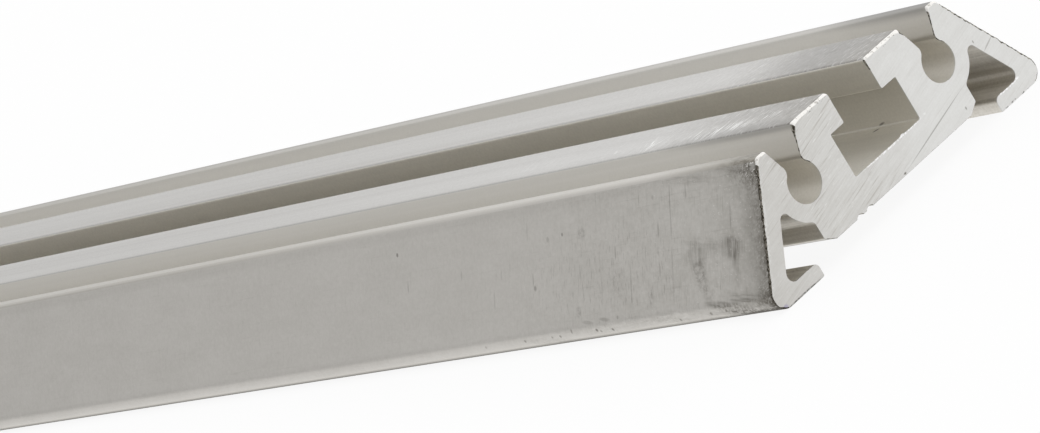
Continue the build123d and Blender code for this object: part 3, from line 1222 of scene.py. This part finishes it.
@dataclass
class ExtrudedRail:
    """The rail itself: one piece of stock, drawn, extruded and sawn at both ends."""

    section: RailSection
    length: float
    cuts: tuple[SawCut, SawCut]
    loop_pitch: float = 0.1
    first_step: float = 0.5
    smooth_angle: float = radians(35.0)
    pen: SectionPen = field(init=False)
    mouth: tuple[float, float] = field(init=False)

    def __post_init__(self) -> None:
        """Take up the pen, and find the rims of the port's mouth once for all faces."""
        section = self.section
        self.pen = SectionPen(self.length / 2)
        self.mouth = section.rim(Side.FRONT, section.lip_top).x, section.rim(Side.BACK, section.leg_top).x

    def stations(self) -> list[float]:
        """Places along X of the rail's edge loops, from the near end to the far end.

        Returns:
            The places, close together where the cut edges are broken.
        """
        half = [self.length / 2 - self.loop_pitch * at for at in range(self.cuts[0].loops + 1)]
        # From there on each step is twice as long as the last
        step = self.first_step
        while half[-1] > step:
            half.append(half[-1] - step)
            step *= 2
        return [*half, *(-place for place in reversed(half))]

    def build(self) -> bpy.types.Object:
        """Model the rail.

        Returns:
            The rail's object, with its faces sorted into zones and its cut edges broken.
        """
        bpy.ops.object.select_all(action="DESELECT")
        bpy.ops.mesh.primitive_plane_add(size=MM, location=(0, 0, 0))
        rail = bpy.context.object
        rail.name = "extruded_rail"
        rail.data.name = "extruded_rail"
        bpy.ops.object.mode_set(mode="EDIT")
        self.pen.draw(self.section.outline())
        stations = self.stations()
        for here, there in zip(stations, stations[1:]):
            bpy.ops.mesh.extrude_region_move(TRANSFORM_OT_translate={"value": ((there - here) * MM, 0, 0)})
        bpy.ops.mesh.select_all(action="SELECT")
        bpy.ops.mesh.normals_make_consistent(inside=False)
        bpy.ops.object.mode_set(mode="OBJECT")
        for polygon in rail.data.polygons:
            polygon.material_index = self.zone(polygon.center / MM, polygon.normal).value
        for cut in self.cuts:
            self.break_edges(rail.data, cut)
        bpy.ops.object.shade_smooth_by_angle(angle=self.smooth_angle)
        for polygon in rail.data.polygons:
            if polygon.material_index == Zone.SAWN_END.value:
                polygon.use_smooth = False
        return rail

    def zone(self, centre: Vector, normal: Vector) -> Zone:
        """Tell which finish a face of the straight rail has.

        Args:
            centre: Middle of the face, in millimetres.
            normal: Direction that the face looks in.

        Returns:
            The face's zone.
        """
        if abs(normal.x) > 0.9:
            return Zone.SAWN_END
        side = Side.FRONT if centre.y < 0 else Side.BACK
        zone = self.long_zone(Vector((centre.y, centre.z)), Vector((normal.y, normal.z)), side)
        if self.length / 2 - abs(centre.x) > self.loop_pitch * self.cuts[0].loops:
            return zone
        section = self.section
        # The filed edge comes further round the legs' tips than round the lips
        filed_slope = 0.3 if abs(centre.y) > section.port_axis.x else 0.5
        if normal.z > filed_slope and centre.z > section.leg_top - section.leg_tip_radius:
            return Zone.FILED_EDGE
        if zone is Zone.FRONT_LEG and centre.x > 0:
            return Zone.RAGGED_EDGE
        low_port = zone is Zone.PORT and centre.z < section.port_axis.y + section.port_diameter / 4
        low_slot = zone is Zone.SLOT and centre.z < section.lip_top - section.lip_thickness / 3
        return Zone.SAWN_END if low_port or low_slot or zone is Zone.POCKET else Zone.NICKED_EDGE

    def long_zone(self, place: Vector, normal: Vector, side: Side) -> Zone:
        """Tell which finish a long face has, away from the cuts.

        Args:
            place: A point of the section.
            normal: Direction that the face looks in there.
            side: The side of the rail that it is on.

        Returns:
            The face's zone.
        """
        section = self.section
        depth = section.leg_depth(place, side)
        outward = normal.x * side.value
        tip = section.leg_top - section.leg_tip_radius / 2
        skin = section.leg_thickness - section.edge_radius / 2
        if abs(depth) < skin and outward > 0.1 and place.y < tip:
            return Zone.FRONT_LEG if side is Side.FRONT else Zone.BACK_LEG
        if place.y > section.lip_top - section.edge_radius and normal.y > 0.5:
            return Zone.LIP_TOP
        inner_edge = section.slot_width / 2 + section.edge_radius / 2
        in_slot = abs(place.x) < inner_edge and place.y > section.slot_floor - section.edge_radius
        centred = Vector((abs(place.x), place.y))
        in_port = (centred - section.port_axis).length < section.port_diameter / 2 + section.edge_radius
        margin = section.edge_radius / 2
        if place.y > section.port_axis.y and self.mouth[0] - margin < centred.x < self.mouth[1] + margin:
            return Zone.PORT if in_port else Zone.MOUTH
        if in_port:
            return Zone.PORT
        under = depth > section.leg_thickness - section.edge_radius
        base_end = section.port_axis.x + section.base_overhang - section.edge_radius
        in_pocket = under and centred.x > base_end and place.y < section.port_axis.y
        on_foot = place.y > 0 and place.y < section.base_clearance and centred.x > base_end and outward < 0.5
        if in_pocket or (on_foot and normal.y > -0.5):
            return Zone.POCKET
        return Zone.SLOT if in_slot else Zone.MILL

    def break_edges(self, mesh: bpy.types.Mesh, cut: SawCut) -> None:
        """Break the edges of one end by moving the loops next to it.

        Args:
            mesh: The rail's mesh, still straight at this end.
            cut: How the end was cut.
        """
        tree = kdtree.KDTree(len(self.pen.points))
        for at, point in enumerate(self.pen.points):
            tree.insert((point.place.x, point.place.y, 0), at)
        tree.balance()
        face = cut.end.value * self.length / 2
        for vertex in mesh.vertices:
            x, y, z = vertex.co / MM
            loop = round(abs(face - x) / self.loop_pitch, 3)
            if loop > cut.loops:
                continue
            _, at, _ = tree.find((y, z, 0))
            move, run = cut.inward(self.section, self.pen.points[at])
            phase = pi / 2 * (1 - loop / cut.loops)
            y, z = Vector((y, z)) + move * (1 - cos(phase))
            x = face - cut.end.value * run * (1 - sin(phase))
            vertex.co = Vector((x, y, z)) * MM

    def dress(self, rail: bpy.types.Object, finishes: dict[Zone, AluminiumFinish]) -> None:
        """Give each zone its material, in the order of the zones' numbers."""
        for zone in Zone:
            rail.data.materials.append(finishes[zone].material(self.length / 2))


@dataclass(frozen=True)
class Studio:
    """A pale floor under a soft wrap of light, brighter behind the rail than in front of it."""

    floor_size: float = 6.0
    floor_colour: str = "#FCFCFC"
    floor_glow: float = 0.9
    light_front: float = 0.70
    light_back: float = 1.25
    light_end: float = 0.6

    def build(self) -> None:
        """Make the floor and the surrounding light."""
        bpy.ops.object.select_all(action="DESELECT")
        bpy.ops.mesh.primitive_plane_add(size=self.floor_size, location=(0, 0, 0))
        floor = bpy.context.object
        floor.name = "studio_floor"
        floor.data.materials.append(self.floor_material())
        self.surround()

    def floor_material(self) -> bpy.types.Material:
        """White studio paper: it glows for the eye and for reflections, and keeps a soft shadow.

        Returns:
            The material.
        """
        material = bpy.data.materials.new("white_studio_paper")
        material.use_nodes = True
        tree = material.node_tree
        tree.nodes.clear()
        rays = add_node(tree, "ShaderNodeLightPath").node.outputs
        seen = rays["Is Camera Ray"]
        for kind in ("Is Glossy Ray", "Is Transmission Ray"):
            seen = add_node(tree, "ShaderNodeMath", (seen, rays[kind]), operation="MAXIMUM")
        glow = add_node(tree, "ShaderNodeMath", (seen, self.floor_glow), operation="MULTIPLY")
        paper = add_node(tree, "ShaderNodeBsdfDiffuse", {"Color": linear(self.floor_colour)})
        white = add_node(tree, "ShaderNodeEmission", {"Strength": 1.0})
        mixed = add_node(tree, "ShaderNodeMixShader", (glow, paper, white))
        add_node(tree, "ShaderNodeOutputMaterial", {"Surface": mixed})
        return material

    def surround(self) -> None:
        """Light the scene from all round, graded across the rail."""
        world = bpy.data.worlds.new("soft_surround")
        bpy.context.scene.world = world
        world.use_nodes = True
        tree = world.node_tree
        tree.nodes.clear()
        direction = add_node(tree, "ShaderNodeTexCoord", output="Generated")
        axes = add_node(tree, "ShaderNodeSeparateXYZ", (direction,)).node.outputs
        back = add_node(tree, "ShaderNodeMapRange", (axes["Y"], -1.0, 1.0, self.light_front, self.light_back))
        end = add_node(tree, "ShaderNodeMapRange", (axes["X"], -1.0, -0.65, self.light_end, 1.0))
        level = add_node(tree, "ShaderNodeMath", (back, end), operation="MULTIPLY")
        light = add_node(tree, "ShaderNodeBackground", {"Color": (1, 1, 1, 1), "Strength": level})
        add_node(tree, "ShaderNodeOutputWorld", {"Surface": light})


@dataclass(frozen=True)
class PhotoCamera:
    """The camera at the photograph's viewing angle: far away, with a long lens and tilted."""

    location: Triple = (769.63, -385.77, 189.56)
    azimuth: float = radians(57.484)
    elevation: float = radians(14.231)
    roll: float = radians(-31.988)
    lens: float = 176.15
    sensor: float = 36.0

    def place(self) -> None:
        """Make the scene's camera."""
        flat = cos(self.elevation)
        forward = Vector((-sin(self.azimuth) * flat, cos(self.azimuth) * flat, -sin(self.elevation)))
        level = forward.cross(Vector((0, 0, 1))).normalized()
        upward = level.cross(forward)
        right = level * cos(self.roll) + upward * sin(self.roll)
        turn = Matrix((right, right.cross(forward), -forward)).transposed()
        data = bpy.data.cameras.new("photo_camera")
        data.lens = self.lens
        data.sensor_fit = "HORIZONTAL"
        data.sensor_width = self.sensor
        data.clip_start = 0.01
        camera = bpy.data.objects.new("photo_camera", data)
        bpy.context.scene.collection.objects.link(camera)
        camera.matrix_world = Matrix.Translation(Vector(self.location) * MM) @ turn.to_4x4()
        bpy.context.scene.camera = camera


CROSS_LINE_HALF_WIDTH = 0.25

# Thin lines across the front leg: distance from the near cut, height, half length and strength
CROSS_LINES = (
    (6.9, 12.6, 2.2, 0.3),
    (15.3, 16.6, 1.3, 0.4),
    (16.0, 16.2, 1.2, 0.4),
    (19.8, 14.2, 4.0, 0.4),
    (20.8, 6.8, 4.0, 0.2),
    (22.9, 12.4, 1.2, 0.35),
    (23.5, 7.9, 1.3, 0.35),
    (30.3, 6.8, 3.4, 0.25),
    (33.1, 10.7, 1.0, 0.35),
    (37.1, 6.8, 3.0, 0.18),
    (37.5, 2.4, 0.4, 0.3),
    (45.4, 2.45, 0.5, 0.5),
    (53.1, 15.0, 1.4, 0.5),
    (52.9, 9.2, 1.0, 0.3),
    (58.1, 11.2, 0.9, 0.25),
    (60.4, 10.5, 0.9, 0.2),
    (62.7, 7.6, 1.6, 0.25),
    (70.2, 11.2, 0.8, 0.2),
    (83.9, 11.0, 1.0, 0.3),
)

# Dark flecks on the front leg: distance from the near cut, height, half size and strength
FLECKS = (
    (10.5, 1.95, 0.3, 0.4),
    (13.9, 1.85, 0.35, 0.45),
    (20.9, 1.6, 0.3, 0.5),
    (34.2, 3.3, 0.3, 0.3),
    (36.2, 1.75, 0.35, 0.6),
    (38.9, 1.8, 0.3, 0.4),
    (39.7, 2.05, 0.35, 0.6),
    (48.4, 1.95, 0.3, 0.5),
    (50.3, 2.0, 0.25, 0.4),
    (56.8, 2.05, 0.3, 0.45),
    (66.5, 2.05, 0.3, 0.25),
    (23.4, 16.2, 0.35, 0.2),
    (44.9, 13.9, 0.3, 0.5),
    (48.4, 13.6, 0.45, 0.25),
    (52.6, 8.2, 0.45, 0.4),
    (85.8, 15.1, 0.35, 0.6),
)

# Marks on the front leg: streak, distance from the near cut, height, half length, half height and strength
RUB_MARKS = (
    # Smear along the top corner
    RubMark(Streak.SCRIBBLE, 2.5, 16.7, 5.5, 2.2, 0.24),
    RubMark(Streak.ALONG, 5.0, 17.8, 10.0, 1.0, 0.24),
    # A painted shadow: a long faint band under the top edge
    RubMark(Streak.ALONG, 19.0, 17.9, 14.0, 0.8, 0.17),
    # Dark patch at mid height, with its tail
    RubMark(Streak.ACROSS, 7.3, 9.0, 3.0, 1.8, 0.42),
    RubMark(Streak.ACROSS, 6.8, 7.9, 1.1, 2.4, 0.35),
    RubMark(Streak.SCRIBBLE, 6.7, 9.8, 2.4, 0.6, 0.2),
    RubMark(Streak.ACROSS, 6.6, 5.6, 0.8, 1.5, 0.2),
    RubMark(None, 9.0, 9.0, 2.6, 1.7, 0.1),
    # Fainter patch further from the cut, with a trail down from it
    RubMark(Streak.ACROSS, 15.2, 8.7, 3.2, 2.0, 0.27),
    RubMark(Streak.ALONG, 13.5, 10.0, 5.0, 0.9, 0.15),
    RubMark(Streak.ACROSS, 11.6, 9.2, 2.0, 1.3, 0.18),
    RubMark(Streak.SCRIBBLE, 14.9, 7.2, 2.0, 1.8, 0.32),
    RubMark(Streak.SCRIBBLE, 14.4, 5.7, 1.7, 1.6, 0.28),
    RubMark(Streak.SCRIBBLE, 13.5, 4.1, 1.5, 1.4, 0.22),
    # Smudges
    RubMark(Streak.SCRIBBLE, 26.1, 4.8, 0.8, 1.3, 0.25),
    RubMark(Streak.SCRIBBLE, 33.3, 7.3, 2.6, 2.4, 0.14),
    RubMark(Streak.SCRIBBLE, 40.4, 13.6, 1.2, 1.1, 0.25),
    RubMark(Streak.SCRIBBLE, 43.0, 4.6, 0.8, 0.9, 0.3),
    # Dirt along the foot
    RubMark(Streak.SCRIBBLE, 1.0, 3.1, 3.0, 1.0, 0.15),
    RubMark(Streak.ALONG, 6.0, 3.2, 6.0, 0.8, 0.36),
    RubMark(Streak.ALONG, 11.5, 2.9, 4.0, 0.6, 0.3),
    RubMark(None, 41.2, 3.25, 1.6, 0.3, 0.22),
    RubMark(None, 37.3, 3.3, 1.6, 0.3, 0.28),
    RubMark(Streak.SCRIBBLE, 8.5, 2.1, 5.5, 1.1, 0.3),
    RubMark(Streak.ACROSS, 9.0, 2.4, 6.5, 0.9, 0.22),
    RubMark(Streak.SCRIBBLE, 1.0, 1.7, 4.5, 1.0, 0.25),
    RubMark(Streak.SCRIBBLE, 3.0, 0.7, 10.0, 0.8, 0.4),
    RubMark(Streak.ALONG, 6.0, 0.9, 12.0, 0.7, 0.3),
    RubMark(Streak.SCRIBBLE, 14.0, 0.7, 26.0, 0.7, 0.15),
    RubMark(Streak.SCRIBBLE, 50.0, 1.2, 9.0, 0.8, 0.15),
    *(
        RubMark(Streak.ACROSS, place, height, CROSS_LINE_HALF_WIDTH, half, shown)
        for place, height, half, shown in CROSS_LINES
    ),
    *(RubMark(None, place, height, half, half, shown) for place, height, half, shown in FLECKS),
)

# Scratches on the front lip: distance from the near cut, place across, half length and width, turn, strength
SCRATCH_PATCHES = (
    ScratchPatch(33.5, -9.0, 3.0, 2.4, radians(110.0), 0.8),
    ScratchPatch(32.0, -9.6, 2.5, 2.0, radians(60.0), 0.7),
    ScratchPatch(20.0, -9.2, 6.5, 2.6, radians(80.0), 1.0),
    ScratchPatch(14.6, -9.0, 4.0, 2.2, radians(77.0), 1.0),
    ScratchPatch(9.0, -7.6, 4.5, 2.6, radians(66.0), 0.45),
    ScratchPatch(41.3, -9.3, 0.8, 0.8, radians(80.0), 1.0),
    ScratchPatch(60.0, -8.5, 14.0, 3.0, radians(85.0), 0.15),
)


def saw_cuts() -> tuple[SawCut, SawCut]:
    """How the near end was sawn and filed, and the plainer far end.

    Returns:
        The near cut and the far cut.
    """
    near = SawCut(
        CutEnd.NEAR,
        lip=EdgeBreak(drop=0.3, run=0.48),
        rim=EdgeBreak(drop=0.35, run=0.0),
        toe=EdgeBreak(drop=0.25, run=0.0),
        tip=EdgeBreak(drop=0.36, run=0.4),
        front_leg=EdgeBreak(drop=0.14, run=0.32),
        back_leg=EdgeBreak(drop=0.26, run=0.26),
        sole=EdgeBreak(drop=0.22, run=0.22),
        plain=EdgeBreak(drop=0.06, run=0.15),
        burr=0.22,
        ragged=0.35,
    )
    far = SawCut(
        CutEnd.FAR,
        lip=EdgeBreak(drop=0.15, run=0.15),
        rim=EdgeBreak(drop=0.1, run=0.0),
        toe=EdgeBreak(drop=0.1, run=0.0),
        tip=EdgeBreak(drop=0.2, run=0.2),
        front_leg=EdgeBreak(drop=0.1, run=0.2),
        back_leg=EdgeBreak(drop=0.1, run=0.2),
        sole=EdgeBreak(drop=0.1, run=0.2),
        plain=EdgeBreak(drop=0.06, run=0.15),
        burr=0.1,
        ragged=0.35,
    )
    return near, far


def rail_finishes() -> dict[Zone, AluminiumFinish]:
    """The finish of each zone, all of one aluminium, as the die, the saw, the file and hands left it.

    Returns:
        The finishes by zone.
    """
    return {
        # Mill finish, straight from the die: a satin grey with faint lines along it, duller by the cut
        Zone.MILL: MillFinish(
            "mill_finish_aluminium", "#D8D5D0", "#A8A49B", 0.32, lines=0.15, bands=0.2, dull=0.8
        ),
        # Mill finish, handled and rubbed: a flat grey, blotched, with dark smears, a dirty foot, painted
        # shade and a painted highlight on the foot
        Zone.FRONT_LEG: HandledFinish("handled_mill_finish", "#D2CFCA", "#ADAAA3", 0.34, rub_marks=RUB_MARKS),
        # The same on the side that the photo hides, without the smears
        Zone.BACK_LEG: HandledFinish("handled_mill_finish_back", "#D2CFCA", "#ADAAA3", 0.34),
        # Mill finish, rubbed by what slid over it: a bright grey with pale scratches
        Zone.LIP_TOP: LipFinish("rubbed_mill_finish", "#D5D4D2", "#A09D98", 0.32, patches=SCRATCH_PATCHES),
        # Mill finish out of reach: the slot, the ports and the pockets stay clean, pale and warm
        Zone.SLOT: InsideFinish("slot_mill_finish", "#F0EDE5", "#D8D5CE", 0.45, deep=0.2),
        Zone.PORT: InsideFinish("port_mill_finish", "#EFECE5", "#D8D4CB", 0.6),
        # The pocket's strong die lines are partly painted reflection streaks
        Zone.POCKET: InsideFinish("pocket_mill_finish", "#F7F4ED", "#C8C3B9", 0.5, lines=0.5),
        # Mill finish of the ports' flared mouths: smooth and pale, with broad soft bands
        Zone.MOUTH: MillFinish(
            "port_mouth_mill_finish",
            "#E4E2DD",
            "#C4C0B8",
            0.45,
            lines=0.0,
            bands=0.35,
            dull=0.35,
            far_shade=0.05,
            relief=0.002,
        ),
        # Aluminium cut by a circular saw: almost white, with slanting lines
        Zone.SAWN_END: SawnFinish("sawn_aluminium", "#E7E7E5", "#B9B5AE", 0.5),
        # Cut edge taken down with a file: a bright thin rim
        Zone.FILED_EDGE: EdgeFinish(
            "filed_aluminium", "#F0EEEA", "#BFBBB5", 0.3, chip_size=0.45, chip_low=0.55, chip_high=0.68
        ),
        # Cut edge torn by the saw and full of grime: dark and broken up
        Zone.RAGGED_EDGE: EdgeFinish(
            "grimy_sawn_edge",
            "#8C877D",
            "#38332B",
            0.5,
            chip_size=0.3,
            chip_low=0.45,
            chip_high=0.58,
            dirtied=0.9,
        ),
        # Cut edge as sawn: grey, its darkness partly painted shade, with small dark nicks
        Zone.NICKED_EDGE: EdgeFinish(
            "nicked_sawn_edge", "#A9A59B", "#3E3931", 0.5, chip_size=0.5, chip_low=0.45, chip_high=0.55
        ),
    }


def main() -> None:
    """Build the rail, its finishes, the studio and the camera."""
    logging.basicConfig(level=logging.INFO, format="%(message)s")
    low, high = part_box(NODE)
    length = (high.x - low.x) / MM
    rail_maker = ExtrudedRail(RailSection(), length, saw_cuts())
    rail = rail_maker.build()
    rail_maker.dress(rail, rail_finishes())
    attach(rail, BODY)
    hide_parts(NODE)
    triangles = sum(len(polygon.vertices) - 2 for polygon in rail.data.polygons)
    log.info("%s: %d triangles", rail.name, triangles)
    Studio().build()
    PhotoCamera().place()
    bpy.context.scene.view_settings.view_transform = "Standard"


if __name__ == "__main__":
    main()
